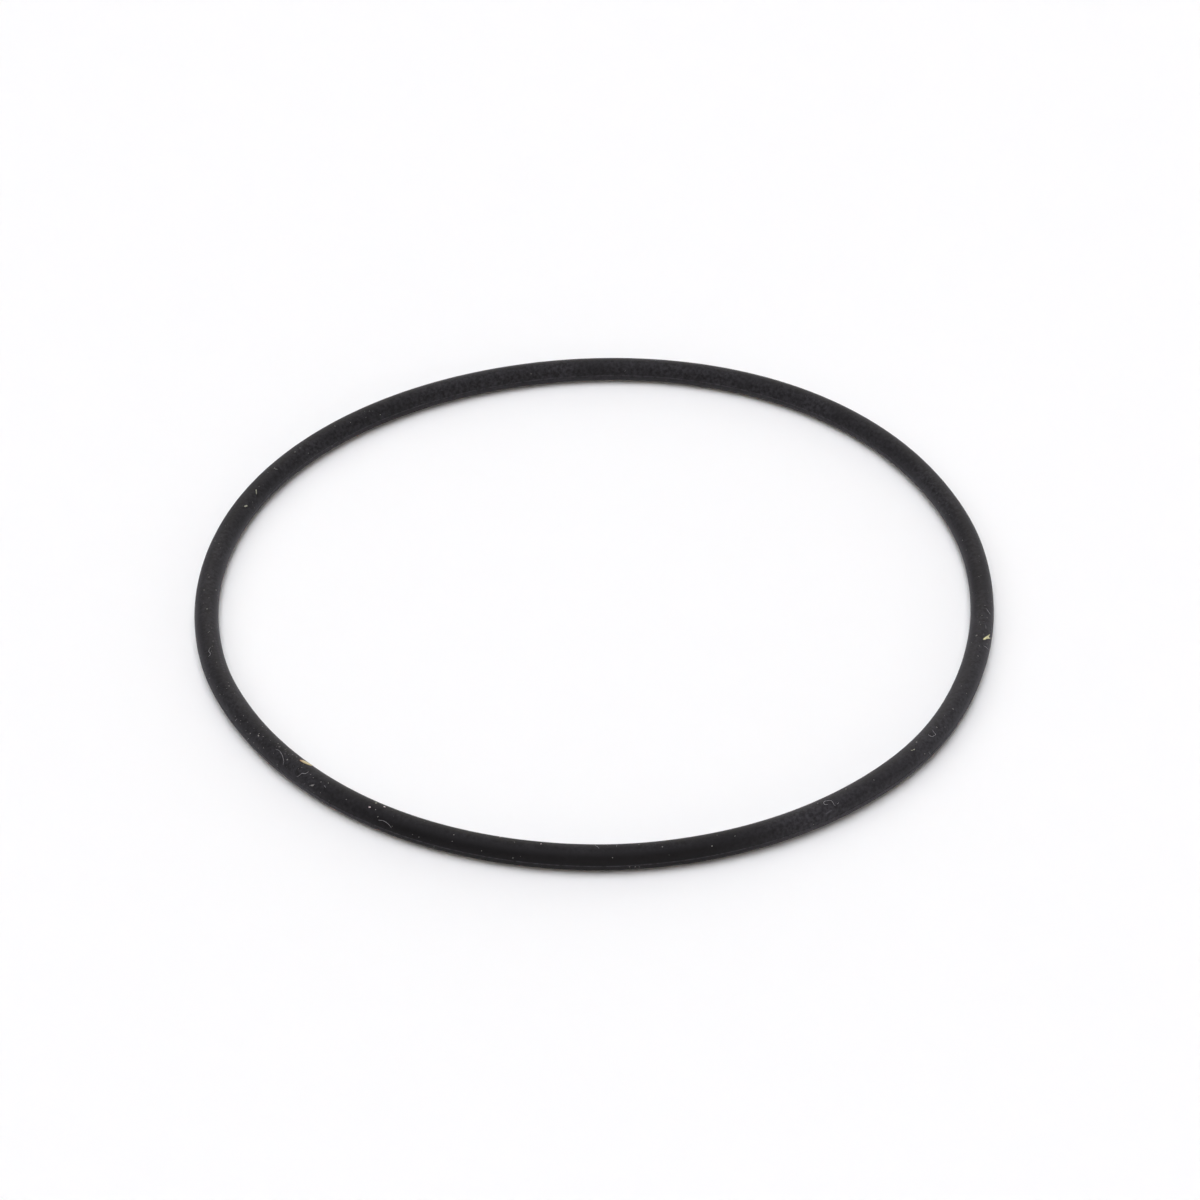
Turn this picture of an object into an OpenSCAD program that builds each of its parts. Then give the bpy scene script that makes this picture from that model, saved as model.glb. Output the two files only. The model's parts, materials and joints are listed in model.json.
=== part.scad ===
// O-ring: one seamless ring of black rubber with a round section.
// It was pressed in a two-part mould, whose halves met in the ring's middle plane.
// Where they met, a thin trimmed line stands proud round the inside and the outside.
// The ring lies flat. The origin is on its axis, in the plane that it lies on.

/* [Ring] */
// Inside diameter of the relaxed ring, on the round section
inside_d = 82.22; // [20:0.01:200]
// Diameter of the round section
section_d = 2.62; // [1.5:0.01:7]

/* [Parting line] */
// Width of the trimmed line at its crest
line_w = 0.12; // [0.05:0.01:0.3]
// Height of the crest over the round section
line_h = 0.05; // [0.02:0.01:0.15]
// Slope of the line's two flanks, in degrees from the middle plane
line_slope = 24; // [5:1:30]

/* [Smoothness] */
// Sides of the round section
section_sides = 96; // [24:4:192]
// Sides of the ring, seen from above
ring_sides = 360; // [90:10:720]

/* [Hidden] */
rubber_black = "#242424";

section_r = section_d / 2;
// Radius from the ring's axis to the middle of its section
ring_r = inside_d / 2 + section_r;
// From the middle of the section to the crest of the parting line
crest_r = section_r + line_h;
// The flanks run on to the middle of the section, so the line grows out of solid rubber
root_w = line_w + 2 * crest_r * tan(line_slope);

// The parting line: one flat rhomb across the section, with a blunt crest at either end
module parting_line() {
    polygon([
        [-crest_r, -line_w / 2],
        [0, -root_w / 2],
        [crest_r, -line_w / 2],
        [crest_r, line_w / 2],
        [0, root_w / 2],
        [-crest_r, line_w / 2]
    ]);
}

// The moulded section, round its own middle
module section() {
    circle(d = section_d, $fn = section_sides);
    parting_line();
}

module o_ring() {
    color(rubber_black)
        translate([0, 0, section_r])
            rotate_extrude($fn = ring_sides)
                translate([ring_r, 0]) section();
}

o_ring();
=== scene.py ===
# %% [markdown]
# # A dusty rubber O-ring
#
# The object is one seal: a closed ring of black nitrile rubber with a round section, lying flat on a white
# surface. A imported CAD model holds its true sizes. This lesson loads that model as a frame and gives the ring
# its looks: the moulded section with its parting line, the matte black rubber, and the dust, lint and crumbs
# that cling to it.

# %% Load the frame
import json
import math
import random

import bmesh
import bpy
from mathutils import Matrix, Vector, noise


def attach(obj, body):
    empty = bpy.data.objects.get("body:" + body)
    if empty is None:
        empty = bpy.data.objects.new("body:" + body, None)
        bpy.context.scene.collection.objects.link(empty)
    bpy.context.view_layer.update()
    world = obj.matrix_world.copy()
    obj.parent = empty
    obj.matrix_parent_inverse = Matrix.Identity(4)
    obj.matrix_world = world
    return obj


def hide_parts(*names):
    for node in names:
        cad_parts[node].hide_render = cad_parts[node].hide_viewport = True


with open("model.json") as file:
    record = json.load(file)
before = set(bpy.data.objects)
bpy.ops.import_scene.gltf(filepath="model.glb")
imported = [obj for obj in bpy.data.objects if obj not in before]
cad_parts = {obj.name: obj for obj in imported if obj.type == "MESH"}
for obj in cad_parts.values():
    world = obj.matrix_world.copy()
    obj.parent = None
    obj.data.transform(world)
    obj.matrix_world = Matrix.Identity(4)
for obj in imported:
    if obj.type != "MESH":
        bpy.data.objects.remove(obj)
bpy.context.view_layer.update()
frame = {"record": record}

MM = 0.001

# %% [markdown]
# ## The sizes
#
# Everything is worked out from the two places where the ring meets other parts: the crest of its inner
# parting line, which hugs the groove, and the crest of its outer one, which touches the housing. Half-way
# between them is the middle of the tube, and the ring rests on the table, so its middle plane lies one tube
# radius up.

# %% Read the sizes
mounts = {mount["name"]: mount for mount in frame["record"]["mounts"]}
inner_crest_r = mounts["groove_seat"]["dims"]["r_mm"] * MM
outer_crest_r = mounts["housing_seat"]["dims"]["r_mm"] * MM
line_w = mounts["groove_seat"]["dims"]["length_mm"] * MM
tube_r = mounts["groove_seat"]["pos_m"][2]
ring_r = (inner_crest_r + outer_crest_r) / 2
crest_r = (outer_crest_r - inner_crest_r) / 2
print(f"ring {ring_r / MM:.2f} mm, tube {tube_r / MM:.2f} mm, crest {(crest_r - tube_r) / MM:.2f} mm proud")

# %% [markdown]
# ## The moulded section
#
# An O-ring is pressed between two mould halves that meet in its middle plane, so its section is a true circle
# with a hair-thin trimmed line on the inside and the outside. It could be a torus primitive, but a torus has
# no parting line. So the section is drawn first, as a circle of vertices standing on edge: the two vertices
# on the middle plane are bevelled into pairs, and the pairs are pushed outwards into blunt crests. Vertices
# are picked by their place, and a hair's breadth of slack lets a place match although it was rounded.

# %% Draw the section
TUBE_SIDES = 96
HAIR = 0.01 * MM


def start_clean():
    """Leaves nothing selected, so that the next operator works on the new piece alone."""
    bpy.ops.object.select_all(action="DESELECT")


def pick(piece, wanted):
    """In edit mode, selects the vertices whose place the test keeps, and returns how many they are."""
    bpy.ops.mesh.select_all(action="DESELECT")
    mesh = bmesh.from_edit_mesh(piece.data)
    for vertex in mesh.verts:
        vertex.select = wanted(vertex.co)
    mesh.select_flush(True)
    bmesh.update_edit_mesh(piece.data)
    return sum(vertex.select for vertex in mesh.verts)


start_clean()
bpy.ops.mesh.primitive_circle_add(
    vertices=TUBE_SIDES, radius=tube_r, location=(ring_r, 0, tube_r), rotation=(math.radians(90), 0, 0)
)
ring = bpy.context.object
ring.name = "moulded_ring"
bpy.ops.object.transform_apply()
bpy.ops.object.mode_set(mode="EDIT")
bpy.ops.mesh.select_mode(type="VERT")
on_plane = pick(ring, lambda place: abs(place.z - tube_r) < HAIR)
bpy.ops.mesh.bevel(offset=line_w / 2, segments=1, affect="VERTICES")
crests = pick(ring, lambda place: abs(place.z - tube_r) < line_w / 2 + HAIR)
bpy.ops.transform.resize(value=(crest_r / tube_r, 1, 1), center_override=(ring_r, 0, tube_r))
print(on_plane, "vertices on the middle plane became", crests)

# %% [markdown]
# ## The ring
#
# The section is spun round the ring's axis, the way a lathe cuts the mould. One spin of the whole turn
# would be slow, so the section is spun into a short arc, and a second spin copies the arc round. Where the
# arcs meet they have doubles, which are merged. A spin can turn a shape inside out, so the normals are
# worked out afresh.

# %% Spin the ring
ARC_STEPS = 40
ARCS = 18
AXIS = {"center": (0, 0, 0), "axis": (0, 0, 1)}
SEAM_GAP = 0.002 * MM

bpy.ops.mesh.select_all(action="SELECT")
bpy.ops.mesh.spin(steps=ARC_STEPS, angle=math.radians(360 / ARCS), **AXIS)
bpy.ops.mesh.select_all(action="SELECT")
bpy.ops.mesh.spin(steps=ARCS, dupli=True, angle=math.radians(360), **AXIS)
bpy.ops.mesh.select_all(action="SELECT")
bpy.ops.mesh.remove_doubles(threshold=SEAM_GAP)
bpy.ops.mesh.normals_make_consistent(inside=False)
bpy.ops.object.mode_set(mode="OBJECT")
print("the ring has", len(ring.data.polygons), "faces")

# %% [markdown]
# ## The relaxed lie and the trimmed line
#
# A rubber ring this thin never lies quite round: it keeps a little of the bends from its bag. Seen from
# above this one has three low lobes and four lower ones, under half a millimetre in all, and some slight
# kinks where it was folded, which bow it out or in by a tenth or two. A moulded tube isn't equally thick
# all round either: this one is a tenth of a millimetre thinner at its right, and less than half of that at
# its left. The parting line was trimmed flush in those two places, and unevenly in the others. A lattice or
# proportional editing could bend the ring, but all this follows the angle round it, so a formula says it
# more evenly than the hand could.

# %% Describe the lie
# A lobe has its count round the ring, its rise, and the angle of a peak in degrees.
LOBES = ((3, 0.302 * MM, 54.0), (4, 0.148 * MM, 51.2))
# A kink has the angle of its peak and its spread in degrees, and how far it bows out.
KINKS = (
    (323, 12, 0.22 * MM), (12, 9, 0.11 * MM), (272, 9, 0.05 * MM), (197, 7, 0.09 * MM),
    (222, 13, -0.07 * MM), (170, 12, -0.06 * MM), (95, 28, -0.03 * MM), (2, 20, 0.05 * MM),
)
# A thin place has its angle and its spread in degrees, and the share of the thickness that it lacks.
THIN_PLACES = ((0, 25, 0.04), (175, 28, 0.015))


def bow(angle, peak, spread):
    """A smooth bow that is 1 at its peak and fades out on both sides. Peak and spread are in degrees."""
    away = (math.degrees(angle) - peak + 180) % 360 - 180
    return math.exp(-((away / spread) ** 2))


def lie(angle):
    """How far out of its true circle the tube lies, at an angle round the ring."""
    lobes = sum(rise * math.cos(count * (angle - math.radians(peak))) for count, rise, peak in LOBES)
    return lobes + sum(rise * bow(angle, peak, spread) for peak, spread, rise in KINKS)


def thin(angle):
    """How thick the tube is as a share of its true thickness, at an angle round the ring."""
    return 1 - sum(less * bow(angle, peak, spread) for peak, spread, less in THIN_PLACES)


furthest_out = max(lie(math.radians(degrees)) for degrees in range(360))
print("the tube lies out by", round(furthest_out / MM, 2), "mm at most")

# %% [markdown]
# ## Moving the vertices
#
# Every vertex is moved along its own radius. Its height is scaled from the table up, so that the ring still
# rests on it. The trimming comes and goes with a noise round the ring, and differs from the inside to the
# outside. Last, the surface is shaded smooth, except over the corners of the crest.

# %% Let the ring lie as it relaxed
TRIM_DEPTH = 0.6
TRIM_START = 0.2
TRIM_CHANGES = 9
CREST_ANGLE = 35


def trim(angle, side):
    """What share of the crest the trimming left, at an angle round the ring, inside or outside."""
    place = Vector((math.cos(angle), math.sin(angle), side)) * TRIM_CHANGES
    left = 1 - TRIM_DEPTH * max(0, noise.noise(place) + TRIM_START)
    for peak, spread, _ in THIN_PLACES:
        left *= 1 - bow(angle, peak, spread)
    return left


trimmed = 0
for vertex in ring.data.vertices:
    angle = math.atan2(vertex.co.y, vertex.co.x)
    reach = math.hypot(vertex.co.x, vertex.co.y) - ring_r
    if abs(reach) > tube_r + HAIR:
        side = math.copysign(1, reach)
        reach = side * (tube_r + (abs(reach) - tube_r) * trim(angle, side))
        trimmed += 1
    radius = ring_r + reach * thin(angle) + lie(angle)
    vertex.co.z *= thin(angle)
    vertex.co.x = radius * math.cos(angle)
    vertex.co.y = radius * math.sin(angle)

start_clean()
ring.select_set(True)
bpy.context.view_layer.objects.active = ring
bpy.ops.object.shade_smooth_by_angle(angle=math.radians(CREST_ANGLE))
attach(ring, "root")
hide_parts("o_ring")
print("vertices on the trimmed crests:", trimmed)

# %% [markdown]
# ## The camera
#
# The camera comes before the dirt, because the dirt is placed by where it is seen. It stands in front of
# the ring, a forearm away, and looks down at 39 degrees through a long lens. A helper sends a ray from the
# camera through a pixel of the 1200 by 1200 picture and finds the spot of rubber there, so that a speck
# that was seen at a pixel sits on the ring itself, from whichever side it is viewed. Past the tube's edge
# the nearest spot of rubber serves.

# %% Set up the camera
PICTURE_SIDE = 1200
SENSOR_W = 36
LENS = 111.5
CAMERA_PLACE = (0, -316.8 * MM, 256.1 * MM)
LOOK_DOWN = 38.92
LOOK_ASIDE = -0.074
CAMERA_ROLL = -0.9
SEES_FROM = 10 * MM
SEES_TO = 20
FRONT_SEEN = (600, 858)

camera_data = bpy.data.cameras.new("bench_camera")
camera_data.sensor_width = SENSOR_W
camera_data.lens = LENS
camera_data.clip_start = SEES_FROM
camera_data.clip_end = SEES_TO
camera = bpy.data.objects.new("bench_camera", camera_data)
bpy.context.collection.objects.link(camera)
turn = Matrix.Rotation(math.radians(LOOK_ASIDE), 4, "Z")
tilt = Matrix.Rotation(math.radians(90 - LOOK_DOWN), 4, "X")
roll = Matrix.Rotation(math.radians(CAMERA_ROLL), 4, "Z")
camera.matrix_world = Matrix.Translation(CAMERA_PLACE) @ turn @ tilt @ roll
bpy.context.scene.camera = camera
bpy.context.view_layer.update()


def seen_on_ring(pixel):
    """The place on the rubber that a pixel of the picture shows, and the way its surface faces there."""
    focal = LENS / SENSOR_W * PICTURE_SIDE
    across = (pixel[0] - PICTURE_SIDE / 2) / focal
    down = (pixel[1] - PICTURE_SIDE / 2) / focal
    eye = camera.matrix_world.translation
    ray = (camera.matrix_world.to_3x3() @ Vector((across, -down, -1))).normalized()
    found, place, facing, _ = ring.ray_cast(eye, ray)
    if not found:
        beside_ring = eye + ray * (tube_r - eye.z) / ray.z
        _, place, facing, _ = ring.closest_point_on_mesh(beside_ring)
    return place, facing


print("the front of the tube is seen at", [round(side / MM, 2) for side in seen_on_ring(FRONT_SEEN)[0]])

# %% [markdown]
# ## Helpers for the materials
#
# Every finish here is procedural: nodes work out the colour of each point from where it is on the piece,
# and no picture is wrapped round it. A picture would have to be laid out flat first, and would blur close
# by. One helper turns a paint code to the light that a shader counts in, one adds a node with its settings
# and links, and one starts a material. A Mix node has a set of sockets for each kind of value, so the
# numbers of the ones for colours are named.

# %% Make the helpers
FIRST_COLOUR = 6
SECOND_COLOUR = 7
MIXED = 2


def paint(code):
    """An sRGB hex colour as the linear colour that a shader takes."""
    shares = [int(code[start:start + 2], 16) / 255 for start in (1, 3, 5)]
    linear = [share / 12.92 if share <= 0.04045 else ((share + 0.055) / 1.055) ** 2.4 for share in shares]
    return (*linear, 1)


def add_node(tree, kind, inputs, **settings):
    """Adds a shader node with its settings. Each input is given a value, or the output that feeds it."""
    node = tree.nodes.new("ShaderNode" + kind)
    for name, value in settings.items():
        setattr(node, name, value)
    for socket, value in inputs.items():
        if isinstance(value, bpy.types.NodeSocket):
            tree.links.new(value, node.inputs[socket])
        else:
            node.inputs[socket].default_value = value
    return node


def new_material(name):
    """An empty material, with its tree and the place of each point on the piece."""
    material = bpy.data.materials.new(name)
    material.use_nodes = True
    tree = material.node_tree
    tree.nodes.clear()
    return material, tree, add_node(tree, "TexCoord", {}).outputs["Object"]


print("a mid grey in linear light:", round(paint("#808080")[0], 3))

# %% [markdown]
# ## Where the dust lies, with painted shade and a painted reflection
#
# The rubber was lying about, so a film of dust has fallen on it. At the front of the ring, which faces the
# camera, the film is thinned to paint shade there, and the rubber there gets a wiped finish. On the crown of
# the tube the film is thickened to paint a reflection of the bright far side. The first nodes work out this
# share of film, with its painted shade and reflection, from 0 to 1. How far a point lies in one direction is a
# dot product, and a Map Range node turns that distance, or the height, into a share.

# %% Wipe the front and paint shade there, and a reflection on the crown
# The front gets less film, which is painted shade, and the crown more, which is a painted reflection.
WIPED_SHADED_WAY = math.radians(262)
WIPED_SHADED_FROM = 35 * MM
WIPED_SHADED_TO = 41 * MM
WIPED_SHADED_SHARE = 0.08
CROWN_DEPTH = 0.25 * MM
CROWN_REFLECTION_SHARE = 0.6

rubber, tree, place = new_material("nitrile_rubber_moulded")
towards_wiped_shaded = add_node(
    tree, "VectorMath", {0: place, 1: (math.cos(WIPED_SHADED_WAY), math.sin(WIPED_SHADED_WAY), 0)}, operation="DOT_PRODUCT"
)
# Less film towards the front: painted shade where the tube faces the dark camera side.
away_from_wiped_shaded = add_node(
    tree,
    "MapRange",
    {
        "Value": towards_wiped_shaded.outputs["Value"],
        "From Min": WIPED_SHADED_FROM,
        "From Max": WIPED_SHADED_TO,
        "To Min": 1,
        "To Max": WIPED_SHADED_SHARE,
    },
)
height = add_node(tree, "SeparateXYZ", {0: place}).outputs["Z"]
# More film on the crown of the tube: a painted reflection of the bright far side.
crown_reflection = add_node(
    tree,
    "MapRange",
    {"Value": height, "From Min": 2 * tube_r - CROWN_DEPTH, "From Max": 2 * tube_r, "To Max": CROWN_REFLECTION_SHARE},
)
# The share of film left on, with the painted shade at the front and the painted reflection on the crown.
dust_left_and_painted_light = add_node(tree, "Math", {0: away_from_wiped_shaded.outputs[0], 1: crown_reflection.outputs[0]}, operation="MAXIMUM")
print("nodes that say where dust was left:", len(tree.nodes))

# %% [markdown]
# ## The film of dust
#
# The film is mottled at a few tenths of a millimetre, and thicker in patches a few millimetres wide.
# Towards the right of the front an even haze dulls the rubber as well. One noise makes the patches and a
# finer one the mottle. Real dust is finer than this mottle, which is drawn as coarse as it needs to show.

# %% Lay the film
PATCH_SIZE = 6 * MM
PATCH_THIN = 0.6
PATCH_THICK = 1.4
MOTTLE_SIZE = 0.4 * MM
MOTTLE_FROM = 0.36
MOTTLE_TO = 0.64
MOTTLE_DUST = 0.075
DULL_WAY = math.radians(320)
DULL_FROM = 33 * MM
DULL_TO = 41 * MM
DULL_DUST = 0.03
# A noise seldom goes below the first of these values or above the second.
NOISE_LOW = 0.3
NOISE_HIGH = 0.7

patches = add_node(tree, "TexNoise", {"Vector": place, "Scale": 1 / PATCH_SIZE, "Detail": 2})
thickness = add_node(
    tree,
    "MapRange",
    {
        "Value": patches.outputs[0],
        "From Min": NOISE_LOW,
        "From Max": NOISE_HIGH,
        "To Min": PATCH_THIN,
        "To Max": PATCH_THICK,
    },
)
mottle = add_node(
    tree, "TexNoise", {"Vector": place, "Scale": 1 / MOTTLE_SIZE, "Detail": 3, "Roughness": 0.65}
)
speckle = add_node(
    tree,
    "MapRange",
    {"Value": mottle.outputs[0], "From Min": MOTTLE_FROM, "From Max": MOTTLE_TO, "To Max": MOTTLE_DUST},
)
towards_dull = add_node(
    tree, "VectorMath", {0: place, 1: (math.cos(DULL_WAY), math.sin(DULL_WAY), 0)}, operation="DOT_PRODUCT"
)
even_film = add_node(
    tree,
    "MapRange",
    {"Value": towards_dull.outputs["Value"], "From Min": DULL_FROM, "From Max": DULL_TO, "To Max": DULL_DUST},
)
film = add_node(
    tree,
    "Math",
    {0: thickness.outputs[0], 1: speckle.outputs[0], 2: even_film.outputs[0]},
    operation="MULTIPLY_ADD",
)
# The film times the share left on, so it carries the painted shade and the painted reflection.
film_and_painted_light = add_node(tree, "Math", {0: film.outputs[0], 1: dust_left_and_painted_light.outputs[0]}, operation="MULTIPLY")
print("nodes with the film:", len(tree.nodes))

# %% [markdown]
# ## Dust and a painted highlight on the crest, and smears
#
# The crest of the parting line stands proud, so it catches dust that wiping leaves behind, and it catches light
# from above. A narrow band at its height gets a paler share of its own, broken up by the same mottle: dust, and
# a painted highlight along the crest. Here and there a soft paler smear shows as well. Each is a row of blurred
# spots between the two pixels where its ends were seen, close enough to run into one another. Of all these
# layers the thickest one counts at each point.

# %% Catch dust and paint a highlight on the crest, and smear some
CREST_REACH = 0.06 * MM
CREST_FROM = 0.35
CREST_TO = 0.6
CREST_LEAST = 0.02
CREST_DUST_AND_HIGHLIGHT = 0.16
# How much of the ring one pixel of the picture shows.
PIXEL = 0.1 * MM
# A smear has the pixels of its two ends, how far it reaches to each side, and its share of dust.
SMEARS_SEEN = (
    ((987.0, 610.4), (988.6, 612.4), 0.14 * MM, 0.20),
    ((986.6, 617.0), (987.4, 618.6), 0.16 * MM, 0.18),
    ((990.2, 620.0), (991.2, 621.4), 0.16 * MM, 0.16),
    ((986.4, 622.6), (987.2, 623.2), 0.14 * MM, 0.14),
    ((981.0, 628.0), (982.2, 628.4), 0.20 * MM, 0.10),
    ((985.6, 626.2), (985.9, 628.0), 0.13 * MM, 0.12),
    ((825.7, 814.0), (831.6, 810.2), 0.20 * MM, 0.24),
    ((214.5, 637.0), (225.0, 673.0), 0.30 * MM, 0.12),
    ((258.0, 736.5), (262.0, 740.0), 0.25 * MM, 0.10),
)

# The band at the crest's height is paler: caught dust, and a painted highlight where the crest catches light.
crest_band = add_node(tree, "Math", {0: height, 1: tube_r, 2: CREST_REACH}, operation="COMPARE")
caught_dust_and_highlight = add_node(
    tree,
    "MapRange",
    {
        "Value": mottle.outputs[0],
        "From Min": CREST_FROM,
        "From Max": CREST_TO,
        "To Min": CREST_LEAST,
        "To Max": CREST_DUST_AND_HIGHLIGHT,
    },
)
crest_dust_and_highlight = add_node(tree, "Math", {0: crest_band.outputs[0], 1: caught_dust_and_highlight.outputs[0]}, operation="MULTIPLY")
film_crest_and_painted_light = add_node(tree, "Math", {0: film_and_painted_light.outputs[0], 1: crest_dust_and_highlight.outputs[0]}, operation="MAXIMUM")
thickest_with_painted_light = film_crest_and_painted_light.outputs[0]
for start, end, reach, share in SMEARS_SEEN:
    start, end = Vector(start), Vector(end)
    spots = 1 + round((end - start).length * PIXEL / reach)
    for spot in range(spots):
        middle, _ = seen_on_ring(start.lerp(end, (spot + 0.5) / spots))
        away = add_node(tree, "VectorMath", {0: place, 1: middle}, operation="DISTANCE")
        smear = add_node(
            tree,
            "MapRange",
            {"Value": away.outputs["Value"], "From Min": 0, "From Max": reach, "To Min": share, "To Max": 0},
            interpolation_type="SMOOTHSTEP",
        )
        thickest_with_painted_light = add_node(tree, "Math", {0: thickest_with_painted_light, 1: smear.outputs[0]}, operation="MAXIMUM").outputs[0]
print("nodes with the smears:", len(tree.nodes))

# %% [markdown]
# ## Black nitrile rubber, compression moulded
#
# Carbon black makes the rubber darker than coal, and the mould was blasted, so it is matte: it gives the eye a
# broad, weak gloss and no highlight. Where dust lies it is paler, and glows a little where the surface turns
# away. A sheen layer is how such a fuzz is drawn, so there are two surfaces: a dusty one with sheen and a wiped
# one without, mixed by how much dust was left on together with the painted shade and reflection. The paler
# colour of the film also paints shade at the front, a reflection on the crown and a highlight along the parting
# line, where its share was changed for them. The blasted grain is finer than the eye can see here, and the
# relief is drawn as coarse as it needs to show.

# %% Make the rubber
BARE_RUBBER = "#020202"
DUST_FILM = "#89868f"
GLOSS_TINT = "#fdf7ff"
SHEEN_TINT = "#f6f3ff"
RUBBER_IOR = 1.5
DUSTY_SMOOTHEST = 0.56
DUSTY_ROUGHEST = 0.76
GRIT_SIZE = 0.2 * MM
GRIT_DEPTH = 0.03 * MM

# The paler film colour paints the shade, reflection and highlight that its share holds, as well as the dust.
dusted_and_painted_light = add_node(
    tree,
    "Mix",
    {0: thickest_with_painted_light, FIRST_COLOUR: paint(BARE_RUBBER), SECOND_COLOUR: paint(DUST_FILM)},
    data_type="RGBA",
)
roughness = add_node(
    tree,
    "MapRange",
    {
        "Value": mottle.outputs[0],
        "From Min": NOISE_LOW,
        "From Max": NOISE_HIGH,
        "To Min": DUSTY_SMOOTHEST,
        "To Max": DUSTY_ROUGHEST,
    },
)
grit = add_node(tree, "TexNoise", {"Vector": place, "Scale": 1 / GRIT_SIZE, "Detail": 2})
relief = add_node(tree, "Bump", {"Height": grit.outputs[0], "Strength": 0.5, "Distance": GRIT_DEPTH})
rubber_look = {
    "Base Color": dusted_and_painted_light.outputs[MIXED],
    "IOR": RUBBER_IOR,
    "Specular Tint": paint(GLOSS_TINT),
    "Normal": relief.outputs[0],
}
dusty_look = {
    "Roughness": roughness.outputs[0],
    "Specular IOR Level": 0.2,
    "Sheen Weight": 0.09,
    "Sheen Roughness": 0.55,
    "Sheen Tint": paint(SHEEN_TINT),
}
wiped_look = {"Roughness": 0.62, "Specular IOR Level": 0.22}
dusty = add_node(tree, "BsdfPrincipled", {**rubber_look, **dusty_look})
wiped = add_node(tree, "BsdfPrincipled", {**rubber_look, **wiped_look})
surface = add_node(tree, "MixShader", {0: dust_left_and_painted_light.outputs[0], 1: wiped.outputs[0], 2: dusty.outputs[0]})
add_node(tree, "OutputMaterial", {"Surface": surface.outputs[0]})
ring.data.materials.append(rubber)
print("rubber nodes:", len(tree.nodes))

# %% [markdown]
# ## Lint
#
# A rubber ring picks up fibres of cotton lint, each about two hundredths of a millimetre thick, which cling
# to it in hooks and curls. A fibre could be a particle hair, but the particular curls show, so each one is
# drawn: a Bezier path whose points are laid over the picture and dropped onto the rubber, then rounded with
# a bevel and made a mesh. A fibre as thin as a real one would not show in the render, so these are drawn
# twice as thick.

# %% Draw the lint
LINT_R = 0.018 * MM
LINT_ROUNDNESS = 1
LINT_STEPS = 4
LINT_TIP = 0.7
# A fibre has the pixels that it runs through.
LINT_SEEN = (
    ((210.9, 647.1), (208.8, 650.9), (210.4, 654.4), (208.6, 656.7)),
    ((275.7, 749.5), (279.0, 750.6), (281.7, 754.2), (283.1, 758.0), (283.8, 761.7), (283.1, 764.8)),
    ((296.9, 776.8), (298.9, 775.8), (300.7, 774.3), (302.5, 773.3), (304.0, 773.8), (306.3, 773.3),
     (308.5, 771.7)),
    ((310.2, 785.8), (312.4, 785.4), (314.5, 784.5)),
    ((324.2, 785.8), (325.7, 787.3)),
    ((378.5, 820.1), (381.1, 820.3), (383.4, 820.8), (386.3, 822.4), (389.4, 825.0), (391.3, 828.0)),
    ((827.5, 804.5), (824.9, 804.5), (823.7, 802.8), (825.2, 801.2), (827.8, 800.7), (829.5, 800.5),
     (831.8, 801.2), (833.4, 803.8), (835.2, 805.8)),
    ((837.2, 804.3), (838.5, 802.5)),
    ((928.0, 734.6), (931.7, 736.6), (934.5, 735.3), (935.5, 734.8), (933.7, 732.2), (932.6, 729.9)),
    ((986.0, 608.3), (988.1, 611.3), (990.3, 614.4)),
    ((985.8, 625.5), (985.9, 628.5)),
    ((983.8, 645.8), (985.6, 647.0), (988.0, 649.4)),
    ((248.7, 738.2), (247.7, 739.6), (246.8, 740.8)),
    ((236.7, 719.0), (235.3, 721.2)),
    ((928.7, 752.0), (930.3, 754.4)),
    ((594.6, 845.3), (596.6, 846.3), (598.9, 847.8)),
    ((616.6, 846.9), (616.9, 844.8)),
)


def draw_fibre(pixels):
    """Draws one fibre over the picture, lays it on the rubber and makes it a mesh."""
    start_clean()
    bpy.ops.curve.primitive_bezier_curve_add()
    path = bpy.context.object.data
    path.bevel_depth = LINT_R
    path.bevel_resolution = LINT_ROUNDNESS
    path.resolution_u = LINT_STEPS
    path.use_fill_caps = True
    points = path.splines[0].bezier_points
    points.add(len(pixels) - len(points))
    for point, pixel in zip(points, pixels):
        place, facing = seen_on_ring(pixel)
        point.co = place + facing * LINT_R
        point.handle_left_type = point.handle_right_type = "AUTO"
    points[0].radius = points[-1].radius = LINT_TIP
    bpy.ops.object.convert(target="MESH")
    return bpy.context.object


def join_pieces(pieces, name):
    """Joins pieces into one, which rides with the ring."""
    start_clean()
    for piece in pieces:
        piece.select_set(True)
    bpy.context.view_layer.objects.active = pieces[0]
    bpy.ops.object.join()
    joined = bpy.context.object
    joined.name = name
    bpy.ops.object.shade_smooth()
    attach(joined, "root")
    print(name, "made of", len(pieces), "with", len(joined.data.polygons), "faces")
    return joined


lint = join_pieces([draw_fibre(pixels) for pixels in LINT_SEEN], "lint_fibres")

# %% [markdown]
# ## A grain of dust
#
# The largest dust grains are a tenth to a fifth of a millimetre across and show one by one. They could be
# drawn by a noise in the rubber's own material, but then they would throw no shadow and lie flat. So one
# grain is modelled: a coarse icosphere, jittered and cut flat below, so that it sits. It is one unit wide,
# and each copy is scaled to its own size and has a mesh of its own. It has fewer than twenty faces, because
# there are hundreds of copies.

# %% Model a grain
GRAIN_JITTER = 0.16
GRAIN_CUT = -0.2

start_clean()
bpy.ops.mesh.primitive_ico_sphere_add(subdivisions=1, radius=0.5)
grain = bpy.context.object
bpy.ops.object.mode_set(mode="EDIT")
bpy.ops.mesh.select_all(action="SELECT")
bpy.ops.transform.vertex_random(offset=GRAIN_JITTER, uniform=0, normal=0, seed=5)
bpy.ops.mesh.bisect(plane_co=(0, 0, GRAIN_CUT), plane_no=(0, 0, 1), clear_inner=True, use_fill=True)
bpy.ops.object.mode_set(mode="OBJECT")
print("a grain has", len(grain.data.polygons), "faces")

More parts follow.
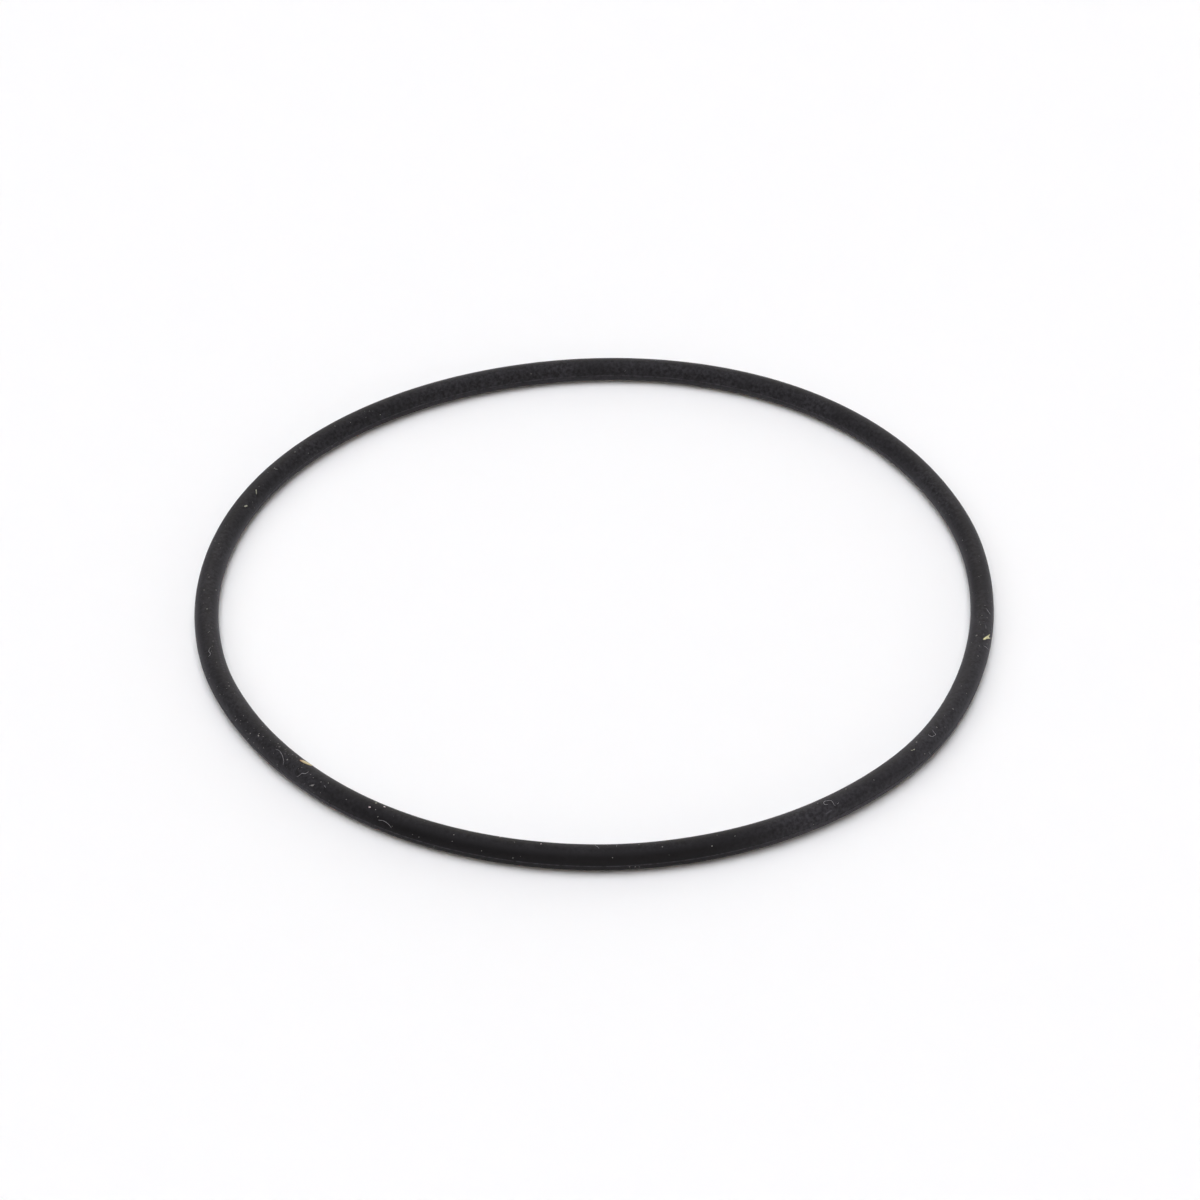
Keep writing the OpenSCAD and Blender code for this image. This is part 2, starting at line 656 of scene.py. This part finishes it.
# %% [markdown]
# ## The grains that show
#
# Each large grain sits where it was seen, and a few clumps are larger still. A scatter by geometry nodes
# would be quicker to set up, but it strews at random and not where a grain was seen. So the grain is copied
# in a loop and laid on the rubber, turned and sized by a seeded draw, which falls the same way each time.
# Grains are flat, so each is about a third as high as it is wide, and up to 1.6 times as long.

# %% Seat the grains that were seen
CLUMP_SIZES = (0.17 * MM, 0.2 * MM)
CLUMPS_SEEN = (
    (976.7, 635.4), (258.5, 735.6), (279.4, 746.8), (287.3, 759.7), (916.5, 742.2), (311.8, 785.5),
    (313.0, 785.1),
)
GRAIN_SIZES = (0.09 * MM, 0.14 * MM)
GRAINS_SEEN = (
    (247.7, 722.2), (242.0, 731.0), (246.0, 730.5), (250.3, 733.4), (259.0, 733.6), (258.5, 735.6),
    (253.7, 742.8), (258.5, 748.0), (278.1, 743.7), (279.4, 746.8), (287.3, 759.7), (277.2, 764.5),
    (296.8, 756.9), (292.5, 754.7), (310.7, 774.5), (328.3, 783.0), (229.0, 686.0), (321.0, 782.0),
    (375.5, 809.6), (377.9, 816.7), (434.0, 847.0), (513.0, 858.0), (639.0, 844.5), (712.0, 846.0),
    (735.0, 836.0), (817.6, 803.3), (846.0, 789.0), (874.0, 780.0), (916.5, 742.3), (924.8, 753.8),
    (936.8, 727.2), (953.0, 709.0), (978.0, 656.0), (976.0, 636.0), (987.2, 617.5), (981.9, 615.3),
    (612.6, 857.7), (662.3, 846.8), (276.0, 469.0), (295.0, 452.0), (300.0, 448.0), (335.0, 426.0),
    (332.0, 446.0), (215.0, 541.0), (209.0, 577.0), (204.0, 590.0), (216.0, 590.0), (207.0, 609.0),
    (629.5, 866.8), (635.2, 866.8), (639.4, 867.0),
)
GRAIN_HEIGHT = 0.35
GRAIN_LENGTHS = (1, 1.6)
# In radians, nearly a whole turn.
ANY_TURN = (0, 6)
draw = random.Random(11)


def seat_copy(model, place, facing, turn, size):
    """A copy of a small shape with a mesh of its own, seated on the rubber at a size in each direction."""
    twin = model.copy()
    twin.data = model.data.copy()
    lay = facing.to_track_quat("Z", "Y").to_matrix().to_4x4() @ Matrix.Rotation(turn, 4, "Z")
    twin.data.transform(Matrix.Translation(place) @ lay @ Matrix.Diagonal((*size, 1)))
    bpy.context.collection.objects.link(twin)
    return twin


def seat_grain(place, facing, sizes):
    """Seats a grain of a drawn turn and size."""
    turn = draw.uniform(*ANY_TURN)
    wide = draw.uniform(*sizes)
    long = wide * draw.uniform(*GRAIN_LENGTHS)
    return seat_copy(grain, place, facing, turn, (long, wide, wide * GRAIN_HEIGHT))


grains = [seat_grain(*seen_on_ring(pixel), CLUMP_SIZES) for pixel in CLUMPS_SEEN]
grains += [seat_grain(*seen_on_ring(pixel), GRAIN_SIZES) for pixel in GRAINS_SEEN]
print("grains that were seen:", len(grains))

# %% [markdown]
# ## The grains strewn between them
#
# Finer grains lie all round, too many to place one by one. They are strewn by the same seeded draw: each gets
# an angle round the ring and a slope round the tube, and stays only if a further draw falls below how dusty
# the ring is there. It is dustiest at the front left and the right. Last, all the grains are joined.

# %% Strew the finer grains
STREWN = 1400
STREWN_SIZES = (0.03 * MM, 0.09 * MM)
# A slope of 0 is the outside of the tube, 90 its crown and 180 its inside, in degrees.
STREWN_SLOPES = (-25, 205)
# A dusty place has its angle and its spread in degrees, and how much of what falls there stays.
DUSTY_PLACES = ((213, 24, 0.9), (165, 30, 0.35), (348, 22, 0.5))
LEAST_DUSTY = 0.06


def on_ring(angle, slope):
    """The place on the rubber at an angle round the ring and a slope up from its outside, and its facing."""
    outwards = Vector((math.cos(angle), math.sin(angle), 0))
    facing = outwards * math.cos(slope) + Vector((0, 0, math.sin(slope)))
    radius_here = tube_r * thin(angle)
    middle = outwards * (ring_r + lie(angle)) + Vector((0, 0, radius_here))
    return middle + facing * radius_here, facing


def dustiness(angle):
    """How much of the dust that fell at an angle round the ring has stayed, from 0 to 1."""
    return LEAST_DUSTY + sum(share * bow(angle, peak, spread) for peak, spread, share in DUSTY_PLACES)


for _ in range(STREWN):
    angle = math.radians(draw.uniform(0, 360))
    slope = math.radians(draw.uniform(*STREWN_SLOPES))
    if draw.random() < dustiness(angle):
        grains.append(seat_grain(*on_ring(angle, slope), STREWN_SIZES))
dust = join_pieces(grains, "dust_grains")
bpy.data.objects.remove(grain)

# %% [markdown]
# ## Crumbs and chips
#
# A few larger crumbs stand out: a chip of amber-coloured resin, a forked fleck of dry straw, and some paler
# crumbs. Each starts as a slab that lies flat on the rubber between the two pixels where its ends were
# seen. It is jittered or shaped by its ends, and rounded by a subdivision modifier. Then every vertex is
# laid over the nearest rubber at its own height, so that the crumb bends with the tube as a soft flake
# does. A shrinkwrap modifier would bend it too, but would lose its thickness.

# %% Lay, narrow and settle a slab
SUNK = 0.02 * MM


def lay_slab(name, start, end, width, height):
    """Lays a slab from one pixel to the other, in edit mode, and gives it and half its length."""
    start_clean()
    first, last = seen_on_ring(start)[0], seen_on_ring(end)[0]
    middle, facing = seen_on_ring((Vector(start) + Vector(end)) / 2)
    across = facing.cross(last - first).normalized()
    turn = Matrix((across.cross(facing), across, facing)).transposed()
    bpy.ops.mesh.primitive_cube_add(size=1, location=middle, rotation=turn.to_euler())
    slab = bpy.context.object
    slab.name = name
    slab.scale = ((last - first).length, width, height)
    bpy.ops.object.transform_apply(location=False, rotation=False)
    bpy.ops.object.mode_set(mode="EDIT")
    bpy.ops.mesh.select_mode(type="VERT")
    bpy.ops.mesh.select_all(action="SELECT")
    return slab, (last - first).length / 2


def narrow(slab, past, share):
    """Narrows the end of a slab past a place along it, which is below 0 on its first half."""
    pick(slab, lambda place: place.x / past > 1)
    bpy.ops.transform.resize(value=(share, share, share))


def settle(slab, roundness):
    """Rounds a slab and bends it over the rubber below it, sunk in a little so that no edge floats."""
    bpy.ops.object.mode_set(mode="OBJECT")
    slab.modifiers.new("rounding", "SUBSURF").levels = roundness
    slab.modifiers["rounding"].render_levels = roundness
    bpy.ops.object.modifier_apply(modifier="rounding")
    foot = min(vertex.co.z for vertex in slab.data.vertices) + SUNK
    heights = [vertex.co.z - foot for vertex in slab.data.vertices]
    bpy.ops.object.transform_apply()
    for vertex, height in zip(slab.data.vertices, heights):
        _, place, facing, _ = ring.closest_point_on_mesh(vertex.co)
        vertex.co = place + facing * height
    bpy.ops.object.shade_smooth()
    return slab


print("each slab is sunk by", SUNK / MM, "mm")

# %% [markdown]
# ## The resin chip
#
# The chip is a splinter of brittle resin, broken at both ends. It could be cut from a block by bisects, but
# a slab with a few narrowed ends gives the same blunt wedge: narrowest at its first end, widest past its
# middle.

# %% Shape the resin chip
CHIP_W = 0.44 * MM
CHIP_H = 0.1 * MM
CHIP_JITTER = 0.03 * MM
CHIP_SEEN = ((300.0, 760.0), (311.8, 765.7))
# Each end has its place as a share of half the length, and the share of the width that is left past it.
CHIP_ENDS = ((-0.95, 0.4), (-0.45, 0.85), (0.95, 0.7))

chip, half = lay_slab("resin_chip", *CHIP_SEEN, CHIP_W, CHIP_H)
bpy.ops.mesh.subdivide(number_cuts=2)
bpy.ops.transform.vertex_random(offset=CHIP_JITTER, seed=2)
for place_along, width_left in CHIP_ENDS:
    narrow(chip, place_along * half, width_left)
settle(chip, roundness=2)
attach(chip, "root")
print("the resin chip has", len(chip.data.polygons), "faces")

# %% [markdown]
# ## The forked fleck of straw
#
# The fleck is a shred of dry straw that split at one end. Its stem is a slab like the chip. The end face is
# extruded into a thin upper limb, and the lower side face of the half beside it into a second limb, so that
# it forks. Two slabs could be joined instead, but extruded limbs grow out of the stem without a seam.

# %% Fork the straw fleck
STEM_W = 0.2 * MM
STEM_H = 0.08 * MM
STEM_SEEN = ((983.4, 639.6), (986.9, 637.2))
UPPER_LIMB = (0.85 * MM, 0.05 * MM, 0)
UPPER_TAPER = 0.6
LOWER_LIMB = (1.0 * MM, -0.3 * MM, 0)
LOWER_TAPER = 0.5
STEM_TAPER = 0.9

fleck, half = lay_slab("straw_fleck", *STEM_SEEN, STEM_W, STEM_H)
bpy.ops.mesh.subdivide(number_cuts=1)
pick(fleck, lambda place: place.x > half - HAIR)
bpy.ops.mesh.extrude_region_move(TRANSFORM_OT_translate={"value": UPPER_LIMB, "orient_type": "LOCAL"})
bpy.ops.transform.resize(value=(UPPER_TAPER, UPPER_TAPER, UPPER_TAPER))
pick(fleck, lambda place: -HAIR < place.x < half + HAIR and place.y < HAIR - STEM_W / 2)
bpy.ops.mesh.extrude_region_move(TRANSFORM_OT_translate={"value": LOWER_LIMB, "orient_type": "LOCAL"})
bpy.ops.transform.resize(value=(LOWER_TAPER, LOWER_TAPER, LOWER_TAPER))
narrow(fleck, HAIR - half, STEM_TAPER)
settle(fleck, roundness=2)
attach(fleck, "root")
print("the straw fleck has", len(fleck.data.polygons), "faces")

# %% [markdown]
# ## The smaller crumbs
#
# Crumbs of husk and of paper are so small that only their place, length and width show. Each is a slab again,
# and a loop lays them all, so that a crumb is one row of a list.

# %% Lay down the smaller crumbs
CRUMB_H = 0.07 * MM
CRUMB_JITTER = 0.02 * MM
# A crumb has the pixels of its two ends and its width.
STRAW_SEEN = (
    ((244.4, 506.6), (247.3, 505.6), 0.18 * MM),
    ((256.1, 489.4), (256.4, 494.2), 0.12 * MM),
    ((914.7, 749.3), (913.4, 749.9), 0.12 * MM),
    ((912.9, 750.2), (911.0, 750.7), 0.06 * MM),
    ((375.3, 803.3), (377.0, 803.1), 0.16 * MM),
)
PAPER_SEEN = (
    ((368.7, 807.1), (370.7, 807.3), 0.13 * MM),
    ((383.7, 806.4), (385.3, 807.3), 0.13 * MM),
    ((499.6, 837.2), (500.6, 836.9), 0.12 * MM),
    ((540.5, 844.1), (541.6, 843.9), 0.1 * MM),
)


def lay_crumbs(name, seen):
    """Lays a crumb for each stretch that was seen and joins them into one piece."""
    crumbs = []
    for start, end, width in seen:
        crumb, _ = lay_slab(name, start, end, width, CRUMB_H)
        bpy.ops.mesh.subdivide(number_cuts=1)
        bpy.ops.transform.vertex_random(offset=CRUMB_JITTER, seed=len(crumbs) + 1)
        crumbs.append(settle(crumb, roundness=1))
    return join_pieces(crumbs, name)


straw_crumbs = lay_crumbs("straw_crumbs", STRAW_SEEN)
paper_crumbs = lay_crumbs("paper_crumbs", PAPER_SEEN)

# %% [markdown]
# ## What the dirt is made of
#
# Cotton lint is white cellulose, greyed by dust: it gives the eye a soft grey with no shine. House dust is
# a mix of skin, soil and fibre, which looks grey-beige. Dry straw is pale and slightly silky, husk that has
# lain in the dust is a dull grey-green, and paper pulp is off-white and dull. All of them are dielectrics
# with an IOR near 1.5. Each gets two colours and a noise as coarse as its real texture, so one loop makes
# them all.

# %% Make the dirt
DIRT_IOR = 1.5
DIRT_RELIEF = 0.1
SHADES_FROM = 0.35
SHADES_TO = 0.65
# A finish has its name, its piece, its darker and lighter colours, its texture's size and its roughness.
FINISHES = (
    ("cotton_lint_grey", lint, "#7b7a7e", "#9f9da1", 0.25 * MM, 0.9),
    ("house_dust", dust, "#5f5d5d", "#9a9894", 2.0 * MM, 0.95),
    ("dry_straw", fleck, "#a9a57c", "#dcd7a8", 0.3 * MM, 0.55),
    ("husk_greyed", straw_crumbs, "#77776a", "#a3a392", 0.2 * MM, 0.8),
    ("paper_pulp", paper_crumbs, "#a38f92", "#dccfd2", 1.5 * MM, 0.85),
)


def dirt_surface(tree, colour, height, texture_size, rough):
    """Ends a dirt material: a dull surface with a relief a tenth as deep as its texture is coarse."""
    relief = add_node(
        tree, "Bump", {"Height": height, "Strength": 0.4, "Distance": texture_size * DIRT_RELIEF}
    )
    surface = add_node(
        tree,
        "BsdfPrincipled",
        {"Base Color": colour, "Roughness": rough, "IOR": DIRT_IOR, "Normal": relief.outputs[0]},
    )
    add_node(tree, "OutputMaterial", {"Surface": surface.outputs[0]})


for name, piece, darker, lighter, texture_size, rough in FINISHES:
    finish, tree, place = new_material(name)
    shades = add_node(tree, "TexNoise", {"Vector": place, "Scale": 1 / texture_size, "Detail": 3})
    lightness = add_node(
        tree, "MapRange", {"Value": shades.outputs[0], "From Min": SHADES_FROM, "From Max": SHADES_TO}
    )
    colour = add_node(
        tree,
        "Mix",
        {0: lightness.outputs[0], FIRST_COLOUR: paint(darker), SECOND_COLOUR: paint(lighter)},
        data_type="RGBA",
    )
    dirt_surface(tree, colour.outputs[MIXED], shades.outputs[0], texture_size, rough)
    piece.data.materials.append(finish)
print("dirt materials:", len(FINISHES))

# %% [markdown]
# ## Amber resin
#
# Cast resin lets light in, so a splinter looks brown where it is thick and straw-coloured where it is thin.
# True transmission would do that too, but at a tenth of a millimetre it costs render time and shows no more
# than two colours do. So the colour runs from one end to the other, broken up by a noise, and the gloss is
# a bit sharper than that of the other dirt.

# %% Make the resin
RESIN_THICK = "#9c5c2c"
RESIN_THIN = "#b5a57c"
RESIN_ROUGHNESS = 0.4
BLOTCH_SIZE = 0.25 * MM
THIN_FROM = 0.45
THIN_TO = 0.85

resin, tree, place = new_material("amber_resin")
chip_ends = [vertex.co.x for vertex in chip.data.vertices]
along = add_node(tree, "SeparateXYZ", {0: place})
towards_thin = add_node(
    tree, "MapRange", {"Value": along.outputs["X"], "From Min": min(chip_ends), "From Max": max(chip_ends)}
)
blotch = add_node(tree, "TexNoise", {"Vector": place, "Scale": 1 / BLOTCH_SIZE, "Detail": 2})
patchy = add_node(tree, "Math", {0: towards_thin.outputs[0], 1: blotch.outputs[0]}, operation="ADD")
thinness = add_node(
    tree, "MapRange", {"Value": patchy.outputs[0], "From Min": THIN_FROM, "From Max": THIN_TO}
)
colour = add_node(
    tree,
    "Mix",
    {0: thinness.outputs[0], FIRST_COLOUR: paint(RESIN_THICK), SECOND_COLOUR: paint(RESIN_THIN)},
    data_type="RGBA",
)
dirt_surface(tree, colour.outputs[MIXED], blotch.outputs[0], BLOTCH_SIZE, RESIN_ROUGHNESS)
chip.data.materials.append(resin)
print("materials:", sorted(material.name for material in bpy.data.materials if material.users))

# %% [markdown]
# ## The white table
#
# The ring lies on a plain white table top, which is part of the stage and not of the object. A dull white
# top lets a little light in, which comes out again close by and softens the edge of the shadow, red light
# furthest. A diffuse surface can't do that, so it is drawn as subsurface scattering that seeps for under a
# millimetre. Its colour stays just short of clipping.

# %% Lay the table
TABLE_SIDE = 4
TABLE_WHITE = "#f5f5f6"
SEEP = 0.8 * MM
SEEP_OF_EACH_COLOUR = (1.15, 1.0, 0.9)

start_clean()
bpy.ops.mesh.primitive_plane_add(size=TABLE_SIDE)
table_top = bpy.context.object
table_top.name = "table_top"
white, tree, _ = new_material("white_table")
matt = add_node(
    tree,
    "SubsurfaceScattering",
    {"Color": paint(TABLE_WHITE), "Scale": SEEP, "Radius": SEEP_OF_EACH_COLOUR},
    falloff="BURLEY",
)
add_node(tree, "OutputMaterial", {"Surface": matt.outputs[0]})
table_top.data.materials.append(white)
print("the table is", TABLE_SIDE, "m wide")

# %% [markdown]
# ## The light
#
# The ring was lit like a product: a wide soft box overhead, two small ones in front that draw the crisp
# inner part of the shadow, soft walls of light at the left and behind, and low sweeps that brighten the
# flanks of the tube, strongest from behind and warmest near the camera. Area lamps could do it, but each
# soft box is a sun lamp with a wide angle, so that the table stays evenly lit at any distance. Each row of
# the list gives its direction (0 is behind the ring, 90 the right, 180 the camera's side), its height in
# degrees, how wide it looks, its share of the light on a white surface facing it, and its colour.

# %% Hang the lamps
LAMPS = (
    ("overhead_box", 0, 90, 45, 0.442, "#fafaff"),
    ("front_box", 180, 65, 8, 0.154, "#ffffff"),
    ("front_left_box", 225, 75, 8, 0.077, "#ffffff"),
    ("left_wall", 270, 42, 40, 0.167, "#ffffff"),
    ("far_wall", 0, 42, 40, 0.117, "#fffef4"),
    ("far_sweep", 0, 12, 30, 0.192, "#fff8ec"),
    ("far_right_sweep", 45, 12, 30, 0.111, "#ffffff"),
    ("near_right_sweep", 135, 12, 30, 0.129, "#fffaf2"),
    ("near_sweep", 180, 12, 30, 0.116, "#fff4e8"),
)
ROOM_LIGHT = 0.15


def hang_lamp(name, around, height, width, level, colour):
    """Hangs one soft box."""
    data = bpy.data.lights.new(name, "SUN")
    data.angle = math.radians(width)
    data.energy = math.pi * level
    data.color = paint(colour)[:3]
    lamp = bpy.data.objects.new(name, data)
    around, height = math.radians(around), math.radians(height)
    level_way = Vector((math.sin(around), math.cos(around), 0))
    from_ring = level_way * math.cos(height) + Vector((0, 0, math.sin(height)))
    lamp.rotation_mode = "QUATERNION"
    lamp.rotation_quaternion = from_ring.to_track_quat("Z", "Y")
    bpy.context.collection.objects.link(lamp)


for lamp_row in LAMPS:
    hang_lamp(*lamp_row)
print("lamps:", len(LAMPS))

# %% [markdown]
# ## The room
#
# Light also comes back from the walls of the room, a little from everywhere, and fills the shadows. An even
# grey world does that. The picture is shown with the Standard view, which leaves the colours as they were
# mixed, where the default view would grey the white table.

# %% Fill the room with light
room = bpy.data.worlds.new("room")
room.use_nodes = True
room.node_tree.nodes.clear()
walls = add_node(room.node_tree, "Background", {"Color": paint("#ffffff"), "Strength": ROOM_LIGHT})
add_node(room.node_tree, "OutputWorld", {"Surface": walls.outputs[0]})
bpy.context.scene.world = room
bpy.context.scene.view_settings.view_transform = "Standard"
print("light from the room:", ROOM_LIGHT)
